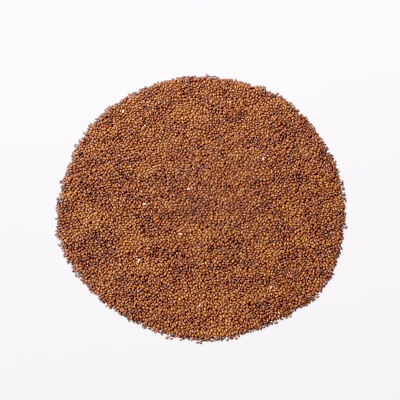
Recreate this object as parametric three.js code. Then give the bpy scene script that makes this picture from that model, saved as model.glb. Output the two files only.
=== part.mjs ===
// A thin round layer of alfalfa seeds, poured out and spread flat on a bare surface.
//
// The layer is one closed solid out to its uneven outline. Its underside is flat, its rim is one
// seed thick and ragged, and its top rises over a narrow slope to a gently rippled, level middle.
// Millimetres, +Z up. The origin is the middle of the underside.

import * as THREE from 'three';

// Driving dimensions
const layerWidth = 160; // left to right, along X
const layerDepth = 149; // near to far, along Y
const layerHeight = 3.3; // mean height of the level middle
const rimHeight = 1.2; // one seed lying flat
const rimUndercut = 0.5; // the outermost seeds curve in to where they touch the surface
const rimSlopeWidth = 6.5; // from the rim to the level middle

// The heap's slow waves of outline: how many lobes go round it, how far each stands out in
// millimetres, and where in degrees, counter-clockwise from +X, the first lobe has its crest.
const outlineWaves = [
  { lobes: 1, crest: 0.5, at: -22 },
  { lobes: 3, crest: 0.8, at: -41 },
  { lobes: 5, crest: 0.6, at: -23 },
  { lobes: 6, crest: 0.3, at: 21 },
  { lobes: 8, crest: 0.4, at: 9 },
];
const ovalTurn = -4; // degrees that the long axis is turned from +X

// Single seeds and small clumps that stick out of the rim, as three short uneven waves
const raggedWaves = [
  { lobes: 31, crest: 0.28, at: 5 },
  { lobes: 47, crest: 0.24, at: 2 },
  { lobes: 67, crest: 0.2, at: 3 },
];

// Ripples of the top: length of one wave, height of its crest, and the way it runs in degrees
const topRipples = [
  { length: 61, crest: 0.22, heading: 24, start: 0.6 },
  { length: 37, crest: 0.16, heading: 101, start: 2.1 },
  { length: 24, crest: 0.12, heading: 158, start: 4.0 },
];

// Fineness of the mesh
const pointsAround = 288;
const ringsAcross = 10;

const degrees = THREE.MathUtils.degToRad;

/** Height in millimetres of a list of waves at an angle round the heap. */
function wavesAt(angle, waves) {
  return waves.reduce(
    (sum, wave) => sum + wave.crest * Math.cos(wave.lobes * (angle - degrees(wave.at))),
    0,
  );
}

/** Distance from the middle to the rim: an oval with slow and ragged waves. */
function rimRadius(angle) {
  const meanRadius = (layerWidth + layerDepth) / 4;
  const ovalCrest = (layerWidth - layerDepth) / 4;
  const oval = ovalCrest * Math.cos(2 * (angle - degrees(ovalTurn)));
  return meanRadius + oval + wavesAt(angle, outlineWaves) + wavesAt(angle, raggedWaves);
}

/** The outline as points, fitted to the layer's width and depth and centred on the origin. */
function outlinePoints() {
  const points = Array.from({ length: pointsAround }, (_, step) => {
    const angle = (2 * Math.PI * step) / pointsAround;
    const radius = rimRadius(angle);
    return new THREE.Vector2(radius * Math.cos(angle), radius * Math.sin(angle));
  });
  const box = new THREE.Box2().setFromPoints(points);
  const middle = box.getCenter(new THREE.Vector2());
  const extent = box.getSize(new THREE.Vector2());
  const fit = new THREE.Vector2(layerWidth / extent.x, layerDepth / extent.y);
  return points.map((point) => point.sub(middle).multiply(fit));
}

/** Height of the top at a point that lies inside the rim by the given distance. */
function topHeight(x, y, inside) {
  const rise = THREE.MathUtils.smoothstep(inside, 0, rimSlopeWidth);
  const ripple = topRipples.reduce((sum, wave) => {
    const along = x * Math.cos(degrees(wave.heading)) + y * Math.sin(degrees(wave.heading));
    return sum + wave.crest * Math.sin((2 * Math.PI * along) / wave.length + wave.start);
  }, 0);
  return rimHeight + (layerHeight - rimHeight + ripple) * rise;
}

/** Share of the way from the middle to the rim of each ring. The rings crowd towards the rim. */
function ringShare(ring) {
  return Math.sin((ring / ringsAcross) * (Math.PI / 2));
}

/** The closed solid: a middle point, rings out to the rim, the underside's ring and its middle. */
function layerGeometry() {
  const outline = outlinePoints();
  const positions = [0, 0, topHeight(0, 0, outline[0].length())];
  for (let ring = 1; ring <= ringsAcross; ring += 1) {
    const share = ringShare(ring);
    for (const point of outline) {
      const x = point.x * share;
      const y = point.y * share;
      positions.push(x, y, topHeight(x, y, point.length() * (1 - share)));
    }
  }
  for (const point of outline) {
    const share = 1 - rimUndercut / point.length();
    positions.push(point.x * share, point.y * share, 0);
  }
  positions.push(0, 0, 0);

  const topMiddle = 0;
  const undersideMiddle = positions.length / 3 - 1;
  const ringStart = (ring) => 1 + (ring - 1) * pointsAround;
  const triangles = [];
  for (let step = 0; step < pointsAround; step += 1) {
    const next = (step + 1) % pointsAround;
    triangles.push(topMiddle, ringStart(1) + step, ringStart(1) + next);
    for (let ring = 1; ring <= ringsAcross; ring += 1) {
      const inner = ringStart(ring);
      const outer = ringStart(ring + 1);
      triangles.push(inner + step, outer + step, outer + next);
      triangles.push(inner + step, outer + next, inner + next);
    }
    const underside = ringStart(ringsAcross + 1);
    triangles.push(undersideMiddle, underside + next, underside + step);
  }

  const geometry = new THREE.BufferGeometry();
  geometry.setAttribute('position', new THREE.Float32BufferAttribute(positions, 3));
  geometry.setIndex(triangles);
  geometry.computeVertexNormals();
  return geometry;
}

const seedCoat = new THREE.MeshStandardMaterial({
  name: 'seed_coat',
  color: 0x925638,
  roughness: 0.5,
  metalness: 0,
});

const alfalfaSeeds = new THREE.Mesh(layerGeometry(), seedCoat);
alfalfaSeeds.name = 'alfalfa_seeds';

const seedLayer = new THREE.Group();
seedLayer.add(alfalfaSeeds);

export default seedLayer;
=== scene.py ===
"""A thin, nearly round layer of alfalfa seeds, lying loose on a bare pale surface.

Sheets of loose seeds are strewn over a low core, settled onto it and onto each other, and joined
into one piece for each kind of seed. The core's top is relief of the seeds underneath.
Sizes of seeds and the settling are in millimetres; meshes, lights and camera are in metres.
"""

import math

import bpy
import numpy as np
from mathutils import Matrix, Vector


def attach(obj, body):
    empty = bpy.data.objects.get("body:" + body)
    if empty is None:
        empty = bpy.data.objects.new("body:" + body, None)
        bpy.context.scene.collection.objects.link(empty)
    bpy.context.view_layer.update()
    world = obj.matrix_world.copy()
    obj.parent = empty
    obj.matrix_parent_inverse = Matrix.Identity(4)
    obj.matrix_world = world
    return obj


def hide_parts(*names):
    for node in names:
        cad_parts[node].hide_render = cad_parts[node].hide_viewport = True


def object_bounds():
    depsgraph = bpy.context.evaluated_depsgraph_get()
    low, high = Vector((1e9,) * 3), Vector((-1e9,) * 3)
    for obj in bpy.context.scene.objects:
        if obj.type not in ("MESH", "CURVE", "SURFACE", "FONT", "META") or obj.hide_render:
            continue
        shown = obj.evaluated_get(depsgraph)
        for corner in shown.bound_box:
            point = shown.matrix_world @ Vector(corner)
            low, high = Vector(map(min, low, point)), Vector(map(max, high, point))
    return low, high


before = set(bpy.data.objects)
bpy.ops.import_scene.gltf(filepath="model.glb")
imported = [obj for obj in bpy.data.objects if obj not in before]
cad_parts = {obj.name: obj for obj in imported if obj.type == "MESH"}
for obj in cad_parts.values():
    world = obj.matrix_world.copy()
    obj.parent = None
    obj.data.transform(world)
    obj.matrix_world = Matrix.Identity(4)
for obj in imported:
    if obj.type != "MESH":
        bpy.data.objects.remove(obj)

cad_low, cad_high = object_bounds()

MM = 0.001
NODE = "alfalfa_seeds"

# One seed, in millimetres, lying on its flat side
SEED_LENGTH = 2.15
SEED_WIDTH = 1.33
SEED_FLATNESS = 0.78  # thickness over width
LENGTH_SPREAD = 0.10  # standard deviation, as a share
WIDTH_SPREAD = 0.09
SIZE_LIMITS = (0.76, 1.22)  # smallest and largest seed, as a share of the usual one
SEED_TILT = 0.12  # standard deviation of the rise of a falling seed's axis
SEED_ROLL = 0.14  # standard deviation of the turn about its own axis, in radians

# The core, in millimetres
CORE_INSET = 1.8  # its edge, inside the layer's rim
CORE_SLOPE = 4.2  # width of its edge slope
CORE_LEVEL = 0.6  # height of the hollows between its seeds
CORE_SEED_RISE = 0.7  # height of its seeds above the hollows
CORE_GRID = 160  # points along each side of its grid
CORE_CELL = 1.6  # one seed of relief in each square of this side
CORE_CELLS = 120  # squares along each side
CELL_MIDDLES = (0.15, 0.85)  # where in its square a relief seed's middle may lie, as a share
RELIEF_SIZES = (0.85, 1.1)  # smallest and largest relief seed, as a share of the usual one

# Slow ripples of the core, and so of the seeds on it: wavelength and height in millimetres,
# heading in degrees, and start in radians
RIPPLES = ((61, 0.12, 24, 0.6), (37, 0.09, 101, 2.1), (24, 0.07, 158, 4.0))

# Sheets of seeds, from the lowest: inset of its edge from the rim, inset where it ends inwards,
# height above the core from which it settles, and spacing of its seeds before they settle
SHEETS = (
    {"inset": 2.4, "until": 5.2, "drop": 0.7, "spacing": 1.16},
    {"inset": 2.9, "until": 6.6, "drop": 2.0, "spacing": 1.27},
    {"inset": 6.6, "until": 80.0, "drop": 2.0, "spacing": 2.4},
    {"inset": 3.4, "until": 26.0, "drop": 3.3, "spacing": 1.43},
    {"inset": 26.0, "until": 45.0, "drop": 3.3, "spacing": 1.54},
    {"inset": 45.0, "until": 80.0, "drop": 3.3, "spacing": 1.6},
)
SPACING_JITTER = 0.22  # of the spacing
DROP_SPREAD = 0.5  # a seed starts up to this much higher than its sheet's drop, at random
SHORTEST_ROD = 0.2  # least length of a seed's straight part, which is its length less its width

# Single seeds that lie on the surface at the rim, half apart from the rest: middle x and y in
# millimetres, and heading in degrees
STRAYS = (
    (-69.1, 33.6, 35), (-67.0, 36.6, 110), (-39.3, 63.0, 150), (-77.1, 13.5, 80), (7.7, 72.7, 20),
    (35.2, 67.0, 140), (-79.1, -16.1, 60), (62.2, -49.1, 40), (60.4, -50.1, 120), (64.2, -46.3, 95),
    (-1.7, -73.9, 10), (0.4, -73.2, 70), (-18.3, -71.7, 30), (-16.1, -71.9, 160), (78.9, -11.9, 70),
)

# Patches where more seeds are dark or light: middle x and y, length and width in millimetres, and
# heading of the length in degrees
DARK_PATCHES = (
    (-54, 1, 14, 11, 0), (-14, -6, 30, 7, 15), (12, 10, 18, 6, 28), (36, 13, 20, 6, 5),
    (-17, 9, 20, 6, 0), (0, 23, 11, 8, 140), (-10, 40, 10, 9, 0), (40, 54, 10, 8, 0),
    (-51, 31, 18, 6, 110), (18, -26, 10, 9, 0), (46, -27, 12, 9, 0), (60, -9, 14, 6, 170),
    (-28, -42, 16, 7, 0), (-52, -22, 20, 5, 0), (-9, -34, 10, 9, 0), (45, -60, 18, 9, 35),
    (-31, -59, 12, 8, 0),
)
LIGHT_PATCHES = (
    (-30, 42, 12, 8, 20), (25, 50, 20, 12, 0), (-32, -33, 11, 6, 0), (-37, -11, 10, 8, 0),
    (-4, -16, 16, 7, 160), (-55, -10, 14, 6, 0), (58, -19, 10, 7, 0), (25, -51, 14, 7, 20),
    (1, -58, 14, 7, 0), (-57, 47, 18, 12, 50), (-8, 49, 14, 9, 0), (44, 0, 14, 7, 0),
)
PATCH_DEPTH = 1.6  # height of a patch's middle, in drifts

# Fainter streaks, longest roughly left to right
STREAK_WAVES = 60
STREAK_LENGTH = 34.0  # usual wavelength along the streaks, in millimetres
STREAK_WIDTH = 13.0  # and across them
STREAK_HEADING = math.radians(10)
RIM_PAINTED_SHADE = 3.5  # painted shade at the rim: how many drifts darker the outermost seeds are
RIM_WIDTH = 3.5  # how far in from the rim that reaches, in millimetres
DRIFT_OF_KIND = 0.11  # how far one drift moves a seed's place between the darkest and lightest kind
DRIFT_OF_SHADE = 0.18  # and how far it lightens the seed, on its kind's own ramp
HIGHEST_DRAW = 0.999  # keeps a seed's place within the kinds that have a share
SHADE_MIDDLE = 0.5  # usual place on that ramp, from 0 to 1
SHADE_SPREAD = 0.3  # standard deviation

# Pale husks on top, as which the photograph's brightest specks are read: x and y in millimetres
PALE_HUSKS = (
    (-2.0, -55.8), (-32.4, -31.6), (-4.8, 8.6), (-31.0, 44.8), (-9.1, -14.1), (-31.6, -0.9),
    (15.8, 59.2), (37.8, -46.7), (35.0, 24.9), (-42.2, 52.9),
)
# The seed nearest each place becomes the husk, where lying higher by one counts as being nearer
# by this much
HEIGHT_OVER_NEARNESS = 3.5

# Settling
SETTLE_STEPS = 150
FALL = 0.055  # millimetres in the first step
FALL_SHARE = 0.85  # share of the steps over which the fall dies away
NEIGHBOUR_STEPS = 8  # steps from one search for neighbours to the next
REACH_MARGIN = 0.25  # how far two seeds may move together in that time, in millimetres
NEARLY_PARALLEL = 1e-3  # least squared sine of the angle between two rods, against division by 0
TINY = 1e-9  # millimetres, against division by 0
STIFF_TURN = 2.2  # how much harder a seed is to turn than a thin rod, in place of friction
OVER_RELAX = 1.3  # share of the pushes on a seed that it follows, before they are softened
SHARED_CONTACT = 0.35  # how far each contact of a seed softens all of them

RANDOM_SEED = 11


# ---- The heap's outline -------------------------------------------------------------------------

RIM_SECTORS = 288


def rim_of(node):
    """The rim as (angles, radii) in millimetres: in each sector round the middle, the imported
    solid's furthest point."""
    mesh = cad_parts[node].data
    places = np.empty(len(mesh.vertices) * 3)
    mesh.vertices.foreach_get("co", places)
    x, y, _ = places.reshape(-1, 3).T / MM
    turns = np.arctan2(y, x) / (2 * np.pi)
    sector = np.floor(turns * RIM_SECTORS + 0.5).astype(int) % RIM_SECTORS
    radii = np.zeros(RIM_SECTORS)
    np.maximum.at(radii, sector, np.hypot(x, y))
    angles = 2 * np.pi * np.arange(RIM_SECTORS) / RIM_SECTORS
    return angles, radii


RIM_ANGLES, RIM_RADII = rim_of(NODE)


def rim_radius(x, y):
    """Distance from the middle to the rim, in the direction of a point."""
    return np.interp(np.arctan2(y, x), RIM_ANGLES, RIM_RADII, period=2 * np.pi)


def inside_rim(x, y):
    """How far a point lies inside the rim, measured towards the middle."""
    return rim_radius(x, y) - np.hypot(x, y)


def smooth_step(value):
    """Zero up to 0, one from 1, and 3v^2 - 2v^3 between them."""
    v = np.clip(value, 0, 1)
    return v * v * (3 - 2 * v)


# ---- The core -----------------------------------------------------------------------------------

core_random = np.random.default_rng(RANDOM_SEED)
CORE_JITTER = core_random.uniform(*CELL_MIDDLES, (2, CORE_CELLS, CORE_CELLS))
CORE_TURN = core_random.uniform(0, np.pi, (CORE_CELLS, CORE_CELLS))
CORE_SIZE = core_random.uniform(*RELIEF_SIZES, (CORE_CELLS, CORE_CELLS))


def ripple(x, y):
    """Sum of plane sine waves, one for each of RIPPLES."""
    total = np.zeros_like(x)
    for length, height, heading, start in RIPPLES:
        along = x * math.cos(math.radians(heading)) + y * math.sin(math.radians(heading))
        total += height * np.sin(2 * np.pi * along / length + start)
    return total


def seed_relief(x, y):
    """Height, from 0 to 1, of the highest half ellipsoid over a point. One ellipsoid lies in each
    square cell, off its middle and turned at random; the nine cells round a point are tried."""
    cell_x = np.floor(x / CORE_CELL).astype(int) + CORE_CELLS // 2
    cell_y = np.floor(y / CORE_CELL).astype(int) + CORE_CELLS // 2
    highest = np.zeros_like(x)
    for step_x in (-1, 0, 1):
        for step_y in (-1, 0, 1):
            i = np.clip(cell_x + step_x, 0, CORE_CELLS - 1)
            j = np.clip(cell_y + step_y, 0, CORE_CELLS - 1)
            from_x = x - (i - CORE_CELLS // 2 + CORE_JITTER[0, i, j]) * CORE_CELL
            from_y = y - (j - CORE_CELLS // 2 + CORE_JITTER[1, i, j]) * CORE_CELL
            turn = CORE_TURN[i, j]
            along = (from_x * np.cos(turn) + from_y * np.sin(turn)) / (SEED_LENGTH / 2)
            across = (from_y * np.cos(turn) - from_x * np.sin(turn)) / (SEED_WIDTH / 2)
            rise = 1 - (along**2 + across**2) / CORE_SIZE[i, j] ** 2
            highest = np.maximum(highest, np.sqrt(np.clip(rise, 0, None)))
    return highest


def core_top(x, y):
    """Height of the core's top: a level middle with ripples and seed relief, and a smooth slope
    down to nothing at its edge."""
    edge = smooth_step((inside_rim(x, y) - CORE_INSET) / CORE_SLOPE)
    return edge * (CORE_LEVEL + ripple(x, y) + CORE_SEED_RISE * seed_relief(x, y))


def disc_grid(count):
    """A square grid drawn into the unit disc without crowding its middle: each square ring of
    points, at distance r from the middle, becomes a circle of radius r, with even angles."""
    line = np.linspace(-1, 1, count)
    a, b = np.meshgrid(line, line, indexing="ij")
    wide = np.abs(a) >= np.abs(b)
    radius = np.where(wide, a, b)
    share = np.divide(np.where(wide, b, a), radius, out=np.zeros_like(a), where=radius != 0)
    angle = np.where(wide, share * np.pi / 4, np.pi / 2 - share * np.pi / 4)
    return radius * np.cos(angle), radius * np.sin(angle)


def core_mesh():
    """The core as (points, triangles): the disc grid scaled out to the rim less CORE_INSET and
    raised to core_top, closed underneath by a fan from its edge to the middle of the base."""
    unit_x, unit_y = disc_grid(CORE_GRID)
    reach = rim_radius(unit_x, unit_y) - CORE_INSET
    x, y = unit_x * reach, unit_y * reach
    top = np.stack([x, y, core_top(x, y)], axis=-1).reshape(-1, 3)
    points = np.vstack([top, [[0, 0, 0]]])

    index = np.arange(CORE_GRID**2).reshape(CORE_GRID, CORE_GRID)
    near, right, far, far_right = index[:-1, :-1], index[1:, :-1], index[:-1, 1:], index[1:, 1:]
    faces = [
        np.stack([near, right, far_right], axis=-1).reshape(-1, 3),
        np.stack([near, far_right, far], axis=-1).reshape(-1, 3),
    ]
    edge = np.concatenate([index[:-1, 0], index[-1, :-1], index[:0:-1, -1], index[0, :0:-1]])
    middle = np.full(len(edge), len(points) - 1)
    faces.append(np.stack([middle, np.roll(edge, -1), edge], axis=-1))
    return points, np.concatenate(faces)


# ---- Strewing and settling ----------------------------------------------------------------------


def strew(random):
    """Seeds before they settle, as (centres, axes, half lengths, radii). Each sheet is a jittered
    triangular lattice cut to the heap's outline. A seed is a rod with round ends, and heights
    are divided by SEED_FLATNESS, so that round rods settle like flat seeds."""
    sheets = []
    span = RIM_RADII.max()
    for sheet in SHEETS:
        spacing = sheet["spacing"]
        line_x = np.arange(-span, span, spacing)
        line_y = np.arange(-span, span, spacing * math.sqrt(3) / 2)
        x, y = np.meshgrid(line_x, line_y)
        x = x + (np.arange(len(line_y)) % 2)[:, None] * spacing / 2
        jitter = random.uniform(-1, 1, (2, *x.shape)) * spacing * SPACING_JITTER
        x, y = (x + jitter[0]).ravel(), (y + jitter[1]).ravel()
        depth = inside_rim(x, y)
        kept = (depth > sheet["inset"]) & (depth < sheet["until"])
        x, y = x[kept], y[kept]
        z = core_top(x, y) + sheet["drop"] + random.uniform(0, DROP_SPREAD, len(x))
        sheets.append(np.stack([x, y, z / SEED_FLATNESS], axis=1))
    sheets.append(np.array([(x, y, SEED_WIDTH / 2) for x, y, _ in STRAYS]))
    centres = np.concatenate(sheets)
    count = len(centres)

    heading = random.uniform(0, 2 * np.pi, count)
    rise = random.normal(0, SEED_TILT, count)
    heading[-len(STRAYS) :] = np.radians([stray[2] for stray in STRAYS])
    rise[-len(STRAYS) :] = 0
    axes = unit(np.stack([np.cos(heading), np.sin(heading), rise], axis=1))
    length = SEED_LENGTH * np.clip(random.normal(1, LENGTH_SPREAD, count), *SIZE_LIMITS)
    width = SEED_WIDTH * np.clip(random.normal(1, WIDTH_SPREAD, count), *SIZE_LIMITS)
    return centres, axes, np.maximum(length - width, SHORTEST_ROD) / 2, width / 2


def unit(vectors):
    """The same directions with length one."""
    return vectors / np.sqrt((vectors * vectors).sum(axis=1, keepdims=True))


def neighbours(centres, reach):
    """Every pair of seeds nearer than reach. Seeds are sorted into square cells as wide as reach,
    and each cell is paired with itself and four of the cells round it."""
    cell = np.floor((centres[:, :2] - centres[:, :2].min(axis=0)) / reach).astype(int) + 1
    columns, rows = cell.max(axis=0) + 2
    key = cell[:, 0] * rows + cell[:, 1]
    order = np.argsort(key, kind="stable")
    start = np.searchsorted(key[order], np.arange(columns * rows + 1))
    firsts, seconds = [], []
    for step_x, step_y in ((0, 0), (1, 0), (0, 1), (1, 1), (1, -1)):
        other = key + step_x * rows + step_y
        count = start[other + 1] - start[other]
        first = np.repeat(np.arange(len(centres)), count)
        place = np.arange(len(first)) - np.repeat(np.cumsum(count) - count, count)
        second = order[np.repeat(start[other], count) + place]
        near = ((centres[first] - centres[second]) ** 2).sum(axis=1) < reach**2
        if step_x == step_y == 0:
            near &= first < second
        firsts.append(first[near])
        seconds.append(second[near])
    return np.concatenate(firsts), np.concatenate(seconds)


def nearest_points(between, axis_a, half_a, axis_b, half_b):
    """How far along each of two rods their nearest points lie. between is the first rod's centre
    less the second's. The distance is least on the two lines, then held within the rods."""
    cosine = (axis_a * axis_b).sum(axis=1)
    on_a = (axis_a * between).sum(axis=1)
    on_b = (axis_b * between).sum(axis=1)
    along_a = (cosine * on_b - on_a) / np.maximum(1 - cosine**2, NEARLY_PARALLEL)
    along_b = np.clip(cosine * np.clip(along_a, -half_a, half_a) + on_b, -half_b, half_b)
    return np.clip(cosine * along_b - on_a, -half_a, half_a), along_b


def summed(count, index, values):
    """Adds rows of values up by index."""
    return np.stack([np.bincount(index, column, count) for column in values.T], axis=1)


def push_apart(centres, axes, halves, radii, turning, first, second):
    """How seeds that overlap push each other, as each seed's shift, its axis's turn and its number
    of contacts. A push p at a distance s from a seed's centre shifts it by p and turns its axis
    by p s / turning, and the overlap is shared out by how easily each seed of a pair gives."""
    count = len(centres)
    between = centres[first] - centres[second]
    along_a, along_b = nearest_points(
        between, axes[first], halves[first], axes[second], halves[second]
    )
    gap = between + along_a[:, None] * axes[first] - along_b[:, None] * axes[second]
    distance = np.sqrt((gap * gap).sum(axis=1)) + TINY
    overlap = radii[first] + radii[second] - distance
    hit = overlap > 0
    a, b, along_a, along_b = first[hit], second[hit], along_a[hit], along_b[hit]
    push = gap[hit] / distance[hit, None]
    tilt_a = push - (push * axes[a]).sum(axis=1, keepdims=True) * axes[a]
    tilt_b = push - (push * axes[b]).sum(axis=1, keepdims=True) * axes[b]
    give_a = 1 + along_a**2 * (tilt_a**2).sum(axis=1) / turning[a]
    give_b = 1 + along_b**2 * (tilt_b**2).sum(axis=1) / turning[b]
    size = (overlap[hit] / (give_a + give_b))[:, None]
    shift = summed(count, a, size * push) - summed(count, b, size * push)
    turn = summed(count, a, size * (along_a / turning[a])[:, None] * tilt_a)
    turn -= summed(count, b, size * (along_b / turning[b])[:, None] * tilt_b)
    contacts = np.bincount(a, minlength=count) + np.bincount(b, minlength=count)
    return shift, turn, contacts


def add_lift(centres, axes, halves, radii, turning, shift, turn, contacts):
    """Adds the push up, shared out in the same way, on each end of a seed that is in the core or
    the surface."""
    up = np.array([0.0, 0.0, 1.0])
    for end in (-1, 1):
        tip = centres + end * halves[:, None] * axes
        ground = core_top(tip[:, 0], tip[:, 1]) / SEED_FLATNESS
        sunk = np.maximum(ground + radii - tip[:, 2], 0)
        rest = sunk / (1 + halves**2 * (1 - axes[:, 2] ** 2) / turning)
        shift[:, 2] += rest
        turn += (end * rest * halves / turning)[:, None] * (up - axes[:, 2:] * axes)
        contacts += sunk > 0


def settle(centres, axes, halves, radii):
    """Lets the seeds sink in ever smaller steps, and after each one pushes them apart and up by
    the sum of their contacts, softened where a seed has many. turning is STIFF_TURN times
    L^2 / 3, as for a thin rod of half length L."""
    turning = STIFF_TURN * (halves + radii) ** 2 / 3
    reach = 2 * (halves + radii).max() + REACH_MARGIN
    for step in range(SETTLE_STEPS):
        if step % NEIGHBOUR_STEPS == 0:
            first, second = neighbours(centres, reach)
        centres[:, 2] -= FALL * max(0.0, 1 - step / (FALL_SHARE * SETTLE_STEPS))
        shift, turn, contacts = push_apart(centres, axes, halves, radii, turning, first, second)
        add_lift(centres, axes, halves, radii, turning, shift, turn, contacts)
        soften = OVER_RELAX / (1 + SHARED_CONTACT * contacts)[:, None]
        centres += soften * shift
        axes = unit(axes + soften * turn)
    return centres, axes


def colour_drift(x, y, random):
    """How much lighter than usual the seeds round a point are. Each patch is a soft oval hill
    exp(-(u^2 + v^2)) of the distances along and across it, over half its length and width, and
    the streaks are a sum of plane waves with random lengths, spread about STREAK_HEADING."""
    drift = np.zeros_like(x)
    for sign, patches in ((-1, DARK_PATCHES), (1, LIGHT_PATCHES)):
        for middle_x, middle_y, length, width, heading in patches:
            c, s = math.cos(math.radians(heading)), math.sin(math.radians(heading))
            along = ((x - middle_x) * c + (y - middle_y) * s) / (length / 2)
            across = ((y - middle_y) * c - (x - middle_x) * s) / (width / 2)
            drift += sign * PATCH_DEPTH * np.exp(-(along**2 + across**2))
    c, s = math.cos(STREAK_HEADING), math.sin(STREAK_HEADING)
    along, across = x * c + y * s, y * c - x * s
    for _ in range(STREAK_WAVES):
        turns = random.normal(0, 1) * along / STREAK_LENGTH
        turns += random.normal(0, 1) * across / STREAK_WIDTH
        drift += math.sqrt(2 / STREAK_WAVES) * np.cos(2 * np.pi * (turns + random.uniform(0, 1)))
    return drift


# ---- Seeds as mesh ------------------------------------------------------------------------------

SIDES = 6  # corners round a seed
RINGS = 5  # rings of corners between its two ends
NOTCH_LENGTH = 0.35  # of half the seed's length
BEND_CROSSING = 0.7  # squared station at which a bent seed's line crosses its axis
BEND_RANGE = (0.5, 1.3)  # least and most of its kind's bend that one seed has
TAPER_RANGE = (0.2, 1.5)
PLUMP_RANGE = (0.5, 1.2)


def seed_template():
    """One seed of length 2 and width 2 along X, as (points, triangles, station, notch). Rings
    stand at the cosines of even angles, with radius sqrt(1 - |s|^3), between two end points.
    notch is 1 on the middle of the side at +Y, where a seed has its scar, and fades round it."""
    stations = -np.cos(np.pi * np.arange(1, RINGS + 1) / (RINGS + 1))
    radius = np.sqrt(1 - np.abs(stations) ** 3)
    angle = 2 * np.pi * np.arange(SIDES) / SIDES
    s, around = np.meshgrid(stations, angle, indexing="ij")
    r = np.broadcast_to(radius[:, None], s.shape)
    rings = np.stack([s, r * np.cos(around), r * np.sin(around)], axis=-1).reshape(-1, 3)
    points = np.vstack([[[-1, 0, 0]], rings, [[1, 0, 0]]])

    first = 1 + np.arange(SIDES)
    after = 1 + (np.arange(SIDES) + 1) % SIDES
    last = first + (RINGS - 1) * SIDES
    last_after = after + (RINGS - 1) * SIDES
    triangles = [np.stack([np.zeros_like(first), after, first], axis=1)]
    for ring in range(RINGS - 1):
        low, low_after = first + ring * SIDES, after + ring * SIDES
        triangles.append(np.stack([low, low_after, low_after + SIDES], axis=1))
        triangles.append(np.stack([low, low_after + SIDES, low + SIDES], axis=1))
    triangles.append(np.stack([np.full_like(last, len(points) - 1), last, last_after], axis=1))

    station = points[:, 0]
    notch = np.exp(-((station / NOTCH_LENGTH) ** 2)) * np.clip(points[:, 1], 0, 1)
    return points, np.concatenate(triangles), station, notch


TEMPLATE, TEMPLATE_FACES, STATION, NOTCH = seed_template()


def seed_points(centres, axes, halves, radii, shape, random):
    """Points of many seeds, in millimetres. The template is thinned towards one end by taper,
    made plump, bent into a kidney by lowering its line by bend (BEND_CROSSING - s^2), and dented
    at the notch, then set on the seed's axis and flattened. Each seed has its own random share
    of its kind's bend, taper and plumpness."""
    count = len(centres)
    bend = shape["bend"] * random.uniform(*BEND_RANGE, count)[:, None]
    taper = shape["taper"] * random.uniform(*TAPER_RANGE, count)[:, None]
    plump = 1 + (shape["plump"] - 1) * random.uniform(*PLUMP_RANGE, count)[:, None]
    thinning = 1 - taper * STATION
    along = TEMPLATE[:, 0] * np.ones((count, 1))
    across = TEMPLATE[:, 1] * thinning * plump - bend * (BEND_CROSSING - STATION**2)
    across -= shape["dent"] * NOTCH
    through = TEMPLATE[:, 2] * thinning

    level = unit(np.cross([0.0, 0.0, 1.0], axes))
    upright = np.cross(axes, level)
    roll = random.normal(0, SEED_ROLL, count) + np.pi * random.integers(0, 2, count)
    side = np.cos(roll)[:, None] * level + np.sin(roll)[:, None] * upright
    back = np.cos(roll)[:, None] * upright - np.sin(roll)[:, None] * level

    length = (halves + radii)[:, None, None]
    width = radii[:, None, None]
    points = centres[:, None] + length * along[..., None] * axes[:, None]
    points += width * across[..., None] * side[:, None]
    points += width * through[..., None] * back[:, None]
    points[..., 2] *= SEED_FLATNESS
    return points


def fill_mesh(name, points, triangles, values=None):
    """A shaded-smooth mesh object from millimetre points and triangles. values are numbers to
    keep at each point, by name."""
    mesh = bpy.data.meshes.new(name)
    mesh.vertices.add(len(points))
    mesh.vertices.foreach_set("co", (np.asarray(points) * MM).ravel())
    mesh.loops.add(triangles.size)
    mesh.loops.foreach_set("vertex_index", triangles.ravel().astype(np.int32))
    mesh.polygons.add(len(triangles))
    mesh.polygons.foreach_set("loop_start", np.arange(0, triangles.size, 3, dtype=np.int32))
    mesh.polygons.foreach_set("use_smooth", np.ones(len(triangles), dtype=bool))
    for label, numbers in (values or {}).items():
        mesh.attributes.new(label, "FLOAT", "POINT").data.foreach_set("value", numbers.ravel())
    mesh.update(calc_edges=True)
    piece = bpy.data.objects.new(name, mesh)
    bpy.context.scene.collection.objects.link(piece)
    return piece


# ---- Materials ----------------------------------------------------------------------------------

MOTTLES_IN_MM = 2.6  # a mottle of the seed coat is about 0.4 mm across
SKIN_RELIEF = 0.04  # height of the coat's grain, in millimetres
SCAR_COLOUR = "#b98a63"
SHADES_IN_MM = 0.65  # a patch of one shade is about 1.5 mm across, nearly a seed's size
# painted shade: the seed bed's colours, darker than the loose seeds' own
BED_PAINTED_SHADE_COLOURS = ("#6a2c12", "#7a381a", "#8a4422")
GLOW_FRONT = 0.862  # the floor's own light in front of the layer
GLOW_BACK = 0.912  # and behind it
GLOW_REACH = 0.11  # how far before and behind the middle those are, in metres


def linear(hex_colour):
    """An sRGB hex colour as linear red, green, blue and alpha."""
    channels = [int(hex_colour[i : i + 2], 16) / 255 for i in (1, 3, 5)]
    return [c / 12.92 if c <= 0.04045 else ((c + 0.055) / 1.055) ** 2.4 for c in channels] + [1.0]


def add_node(tree, kind, fields=None, inputs=None):
    """Adds a node, sets its own fields, and gives each named input a value or a link."""
    made = tree.nodes.new(kind)
    for name, value in (fields or {}).items():
        setattr(made, name, value)
    for name, value in (inputs or {}).items():
        if isinstance(value, bpy.types.NodeSocket):
            tree.links.new(value, made.inputs[name])
        else:
            made.inputs[name].default_value = value
    return made


def set_ramp(ramp_node, colours):
    """Spreads hex colours evenly over a colour ramp."""
    stops = ramp_node.color_ramp.elements
    while len(stops) < len(colours):
        stops.new(0.5)
    for place, (stop, colour) in enumerate(zip(stops, colours)):
        stop.position = place / (len(colours) - 1)
        stop.color = linear(colour)


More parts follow.
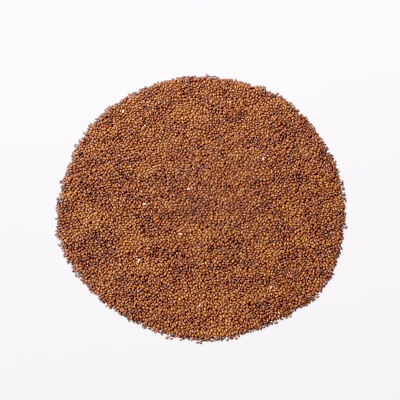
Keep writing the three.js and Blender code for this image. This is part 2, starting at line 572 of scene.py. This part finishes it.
def new_material(name):
    """An empty material with its tree, as (material, tree)."""
    material = bpy.data.materials.new(name)
    material.use_nodes = True
    material.node_tree.nodes.clear()
    return material, material.node_tree


def skin_grain(tree, place):
    """The grain of a dry seed coat, as (height from 0 to 1, bumped normal)."""
    height = add_node(
        tree,
        "ShaderNodeTexNoise",
        inputs={"Vector": place, "Scale": MOTTLES_IN_MM / MM, "Detail": 2.0},
    ).outputs["Fac"]
    bump = add_node(
        tree,
        "ShaderNodeBump",
        inputs={"Height": height, "Strength": 0.25, "Distance": SKIN_RELIEF * MM},
    )
    return height, bump.outputs["Normal"]


def coat_colour(tree, mottle, colours):
    """Colour of a seed coat: its own shade on its kind's ramp, lightened and darkened by the
    mottling, and blended into the scar's colour at the notch."""
    shade = add_node(tree, "ShaderNodeAttribute", {"attribute_name": "shade"}).outputs["Fac"]
    scar = add_node(tree, "ShaderNodeAttribute", {"attribute_name": "notch"}).outputs["Fac"]
    ramp = add_node(tree, "ShaderNodeValToRGB", inputs={"Fac": shade})
    set_ramp(ramp, colours)
    speckle = add_node(
        tree,
        "ShaderNodeMapRange",
        inputs={
            "Value": mottle,
            "From Min": 0.3,
            "From Max": 0.7,
            "To Min": 0.86,
            "To Max": 1.12,
        },
    )
    mottled = add_node(
        tree,
        "ShaderNodeVectorMath",
        {"operation": "SCALE"},
        {0: ramp.outputs["Color"], "Scale": speckle.outputs["Result"]},
    )
    scarred = add_node(
        tree,
        "ShaderNodeMix",
        {"data_type": "RGBA"},
        {"Factor": scar, "A": mottled.outputs["Vector"], "B": linear(SCAR_COLOUR)},
    )
    return scarred.outputs["Result"]


def seed_coat(name, colours):
    """Dry seed coat of alfalfa: a thin, hard, smooth skin with a satin sheen. Every seed has its
    own shade, a paler scar in its notch, and faint mottling of a few tenths of a millimetre."""
    material, tree = new_material(name)
    place = add_node(tree, "ShaderNodeTexCoord").outputs["Object"]
    mottle, grain = skin_grain(tree, place)
    rough = add_node(
        tree,
        "ShaderNodeMapRange",
        inputs={"Value": mottle, "To Min": 0.34, "To Max": 0.5},
    )
    surface = add_node(
        tree,
        "ShaderNodeBsdfPrincipled",
        inputs={
            "Base Color": coat_colour(tree, mottle, colours),
            "Roughness": rough.outputs["Result"],
            "Normal": grain,
            "IOR": 1.5,
            "Specular IOR Level": 1.0,
        },
    )
    add_node(tree, "ShaderNodeOutputMaterial", inputs={"Surface": surface.outputs["BSDF"]})
    return material


def shaded_seed_bed():
    """Seed coats deep in the heap, which little light reaches: the seeds' own coat colours, painted
    darker as painted shade, laid out in patches as large as a seed."""
    material, tree = new_material("seed coats in shade")
    place = add_node(tree, "ShaderNodeTexCoord").outputs["Object"]
    patches = add_node(
        tree, "ShaderNodeTexVoronoi", inputs={"Vector": place, "Scale": SHADES_IN_MM / MM}
    )
    shade = add_node(
        tree, "ShaderNodeSeparateColor", inputs={"Color": patches.outputs["Color"]}
    ).outputs["Red"]
    ramp = add_node(tree, "ShaderNodeValToRGB", inputs={"Fac": shade})
    set_ramp(ramp, BED_PAINTED_SHADE_COLOURS)
    fine, grain = skin_grain(tree, place)
    rough = add_node(
        tree,
        "ShaderNodeMapRange",
        inputs={"Value": fine, "To Min": 0.45, "To Max": 0.65},
    )
    surface = add_node(
        tree,
        "ShaderNodeBsdfPrincipled",
        inputs={
            "Base Color": ramp.outputs["Color"],
            "Roughness": rough.outputs["Result"],
            "Specular IOR Level": 0.2,
            "Normal": grain,
        },
    )
    add_node(tree, "ShaderNodeOutputMaterial", inputs={"Surface": surface.outputs["BSDF"]})
    return material


def light_table():
    """Milky white acrylic, lit from below: its own light leaves little of any shadow, and falls
    off a little towards the viewer."""
    material, tree = new_material("light table acrylic")
    place = add_node(tree, "ShaderNodeTexCoord").outputs["Object"]
    towards_back = add_node(tree, "ShaderNodeSeparateXYZ", inputs={"Vector": place}).outputs["Y"]
    glow = add_node(
        tree,
        "ShaderNodeMapRange",
        inputs={
            "Value": towards_back,
            "From Min": -GLOW_REACH,
            "From Max": GLOW_REACH,
            "To Min": GLOW_FRONT,
            "To Max": GLOW_BACK,
        },
    )
    surface = add_node(
        tree,
        "ShaderNodeBsdfPrincipled",
        inputs={
            "Base Color": linear("#3a393b"),
            "Roughness": 0.8,
            "Specular IOR Level": 0.1,
            "Emission Color": linear("#fdfbfe"),
            "Emission Strength": glow.outputs["Result"],
        },
    )
    add_node(tree, "ShaderNodeOutputMaterial", inputs={"Surface": surface.outputs["BSDF"]})
    return material


# ---- The kinds of seed --------------------------------------------------------------------------

# Each kind's share of the heap, its colours from dark to light, and its form: how far the kidney
# bends and how deep its notch is, in half widths, how much one end thins, and how plump it is, as
# a share of the usual width.
KINDS = {
    "dark_seeds": {
        "share": 0.10,
        "colours": ("#5a2c13", "#663319", "#723a1f"),
        "shape": {"bend": 0.4, "taper": 0.22, "plump": 0.85, "dent": 0.3},
    },
    "chestnut_seeds": {
        "share": 0.17,
        "colours": ("#78320c", "#843c14", "#90461c"),
        "shape": {"bend": 0.35, "taper": 0.2, "plump": 0.95, "dent": 0.2},
    },
    "rosy_seeds": {
        "share": 0.17,
        "colours": ("#82421c", "#8e4c26", "#9a5630"),
        "shape": {"bend": 0.33, "taper": 0.12, "plump": 1.0, "dent": 0.2},
    },
    "copper_kidney_seeds": {
        "share": 0.20,
        "colours": ("#8e400e", "#9a4c16", "#a6581e"),
        "shape": {"bend": 0.42, "taper": 0.16, "plump": 0.95, "dent": 0.25},
    },
    "copper_oval_seeds": {
        "share": 0.20,
        "colours": ("#8c4a14", "#98561c", "#a46224"),
        "shape": {"bend": 0.15, "taper": 0.10, "plump": 1.05, "dent": 0.10},
    },
    "amber_seeds": {
        "share": 0.16,
        "colours": ("#94581c", "#a06424", "#ac702c"),
        "shape": {"bend": 0.25, "taper": 0.14, "plump": 1.04, "dent": 0.15},
    },
    "pale_husks": {
        "share": 0.0,
        "colours": ("#dcb494", "#ecc8a8", "#f8e0c8"),
        "shape": {"bend": 0.3, "taper": 0.2, "plump": 0.8, "dent": 0.2},
    },
}


def own(piece, material):
    """Gives a finished piece its material and its body."""
    piece.data.materials.append(material)
    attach(piece, "root")
    return piece


def make_core():
    """The core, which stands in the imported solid's place."""
    points, triangles = core_mesh()
    piece = own(fill_mesh("seed_bed", points, triangles), shaded_seed_bed())
    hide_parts(NODE)


def deal_kinds(centres, top, fits, drift, random):
    """Each seed's kind, as its place in KINDS: where a random number from 0 to 1, moved by the
    drift, falls in the sum of their shares. The husks, which have no share, are dealt last."""
    names = list(KINDS)
    shares = np.cumsum([KINDS[name]["share"] for name in names])
    draw = random.uniform(0, 1, len(centres)) + DRIFT_OF_KIND * drift
    kind = np.searchsorted(shares / shares[-1], np.clip(draw, 0, HIGHEST_DRAW))
    for x, y in PALE_HUSKS:
        off = np.hypot(centres[:, 0] - x, centres[:, 1] - y) - HEIGHT_OVER_NEARNESS * top
        kind[np.argmin(np.where(fits, off, np.inf))] = names.index("pale_husks")
    return kind


def join_kind(name, points, shade):
    """One piece from the points of all the seeds of a kind, each seed with its own shade."""
    count = len(points)
    faces = TEMPLATE_FACES + (np.arange(count) * len(TEMPLATE))[:, None, None]
    values = {
        "shade": np.repeat(shade, len(TEMPLATE)),
        "notch": np.tile(NOTCH, count),
    }
    piece = fill_mesh(name, points.reshape(-1, 3), faces.reshape(-1, 3), values)
    own(piece, seed_coat(name.replace("_", " ") + " coat", KINDS[name]["colours"]))


def make_seeds():
    """Strews and settles all the seeds, deals them out to the kinds, and joins each kind. A seed
    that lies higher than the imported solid's top is left out, and one that dips below the surface
    is raised onto it."""
    random = np.random.default_rng(RANDOM_SEED + 1)
    centres, axes, halves, radii = strew(random)
    centres, axes = settle(centres, axes, halves, radii)
    top = (centres[:, 2] + radii + halves * np.abs(axes[:, 2])) * SEED_FLATNESS
    fits = top < cad_high.z / MM

    x, y = centres[:, 0], centres[:, 1]
    drift = colour_drift(x, y, random)
    # painted shade: the outermost seeds are dealt darker kinds and shades
    drift -= RIM_PAINTED_SHADE * (1 - smooth_step(inside_rim(x, y) / RIM_WIDTH))
    kind = deal_kinds(centres, top, fits, drift, random)
    shade = random.normal(SHADE_MIDDLE, SHADE_SPREAD, len(centres)) + DRIFT_OF_SHADE * drift
    for place, name in enumerate(KINDS):
        mine = fits & (kind == place)
        seeds = (centres[mine], axes[mine], halves[mine], radii[mine])
        points = seed_points(*seeds, KINDS[name]["shape"], random)
        points[..., 2] -= np.minimum(points[..., 2].min(axis=1, keepdims=True), 0)
        join_kind(name, points, shade[mine])


# ---- Stage --------------------------------------------------------------------------------------

# Where the camera stands, in metres, and its lens, in millimetres. How steeply it looks down and
# from how far are assumed, as the layer's uneven outline fits a range of both. The point it looks
# at puts the layer where it lies in the photograph.
LOOK_DOWN = math.radians(80)
CAMERA_DISTANCE = 0.495
LENS = 81.0
SENSOR = 36.0
CLIP_START = 0.01
AIM = (-0.62 * MM, 3.1 * MM, 1.5 * MM)
FLOOR_HALF = 6.0  # half the floor's side


def make_camera():
    """The camera, CAMERA_DISTANCE from AIM and turned to it, straight in front of the layer."""
    data = bpy.data.cameras.new("camera")
    data.sensor_width = SENSOR
    data.lens = LENS
    data.clip_start = CLIP_START
    camera = bpy.data.objects.new("camera", data)
    bpy.context.scene.collection.objects.link(camera)
    camera.location = (
        AIM[0],
        AIM[1] - CAMERA_DISTANCE * math.cos(LOOK_DOWN),
        AIM[2] + CAMERA_DISTANCE * math.sin(LOOK_DOWN),
    )
    camera.rotation_euler = (math.pi / 2 - LOOK_DOWN, 0, 0)
    bpy.context.scene.camera = camera


def make_floor():
    """The bare pale surface, one wide square."""
    mesh = bpy.data.meshes.new("floor")
    corners = [
        (-FLOOR_HALF, -FLOOR_HALF, 0),
        (FLOOR_HALF, -FLOOR_HALF, 0),
        (FLOOR_HALF, FLOOR_HALF, 0),
        (-FLOOR_HALF, FLOOR_HALF, 0),
    ]
    mesh.from_pydata(corners, [], [(0, 1, 2, 3)])
    floor = bpy.data.objects.new("floor", mesh)
    bpy.context.scene.collection.objects.link(floor)
    mesh.materials.append(light_table())


# Two soft boxes, placed by trial, from the left and from behind: heading from the middle and
# height in degrees, distance in metres, and the light each gives a white surface in the middle
SOFT_BOXES = {
    "left soft box": {"heading": 180, "height": 45, "distance": 1.5, "light": 0.91},
    "back soft box": {"heading": 90, "height": 60, "distance": 0.55, "light": 0.80},
}
SOFT_BOX_SIDE = 0.33  # as a share of its distance
ROOM_LIGHT = 0.05
FILM_BLACK = (0.016, 0.021, 0.015)  # light that the picture shows as black, in red, green and blue
PIXEL_BLUR = 1.35  # width of the pixel filter, for a picture as crisp as the photograph


def make_soft_box(name, heading, height, distance, light):
    """A square lamp turned to the middle of the layer. A lamp of W watts at a distance d gives a
    white surface W sin(height) / (pi d)^2."""
    data = bpy.data.lights.new(name, "AREA")
    data.size = SOFT_BOX_SIDE * distance
    height = math.radians(height)
    data.energy = light * (math.pi * distance) ** 2 / math.sin(height)
    lamp = bpy.data.objects.new(name, data)
    lamp.rotation_euler = (0, math.pi / 2 - height, math.radians(heading))
    lamp.location = (
        distance * math.cos(height) * math.cos(math.radians(heading)),
        distance * math.cos(height) * math.sin(math.radians(heading)),
        distance * math.sin(height),
    )
    bpy.context.scene.collection.objects.link(lamp)


def make_lights():
    """Two soft boxes in a dim room, and a picture with plain colours and deep blacks."""
    for name, box in SOFT_BOXES.items():
        make_soft_box(name, **box)
    world = bpy.data.worlds.new("dim room")
    world.use_nodes = True
    background = world.node_tree.nodes["Background"]
    background.inputs["Color"].default_value = (1, 1, 1, 1)
    background.inputs["Strength"].default_value = ROOM_LIGHT
    scene = bpy.context.scene
    scene.world = world
    scene.view_settings.view_transform = "Standard"
    scene.view_settings.use_curve_mapping = True
    scene.view_settings.curve_mapping.black_level = FILM_BLACK
    scene.cycles.filter_width = PIXEL_BLUR


make_camera()
make_floor()
make_lights()
make_core()
make_seeds()
